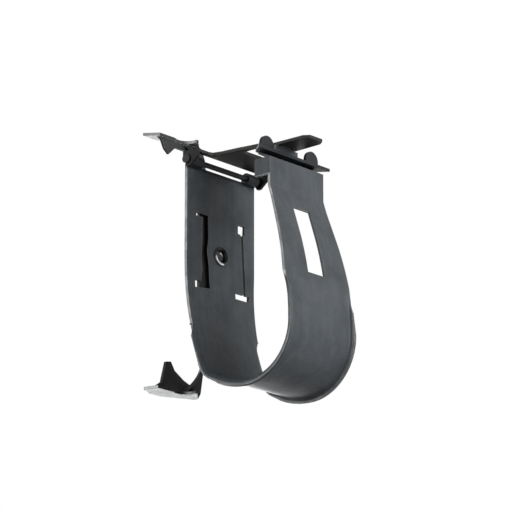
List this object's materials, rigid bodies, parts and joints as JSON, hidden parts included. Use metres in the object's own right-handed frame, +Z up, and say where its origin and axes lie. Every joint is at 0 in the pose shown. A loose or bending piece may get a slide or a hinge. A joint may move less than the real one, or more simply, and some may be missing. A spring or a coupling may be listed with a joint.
{
  "type": "strap hanger",
  "caption": "Sheet steel strap hanger with a hinged latch arm over its loop and a toothed clip at the back that grips a threaded rod.",
  "frame": {"origin": "on the axis of the threaded rod that the hanger is fastened to, midway between the clip's two folds", "axes": "+Z up along the rod, +X from the rod to the front leg of the strap, +Y across the strap to its far edge"},
  "size_m": [0.0857, 0.0446, 0.1156],
  "materials": {
    "strap": "black coated spring steel, satin",
    "arm": "black coated spring steel, satin",
    "pin": "black coated steel, satin",
    "rivet": "black coated steel, satin",
    "clip": "black coated spring steel, satin"
  },
  "bodies": {
    "hanger": {"strap": "strap", "hinge_pin": "pin", "rivet": "rivet", "rod_clip": "clip"},
    "arm": {"latch_arm": "arm"}
  },
  "joints": [
    {"name": "arm_hinge", "type": "hinge", "parent": "hanger", "child": "arm", "pos_m": [0.01986, 0, 0.0345], "axis": [0, -1, 0], "range_deg": [0, 100]}
  ]
}
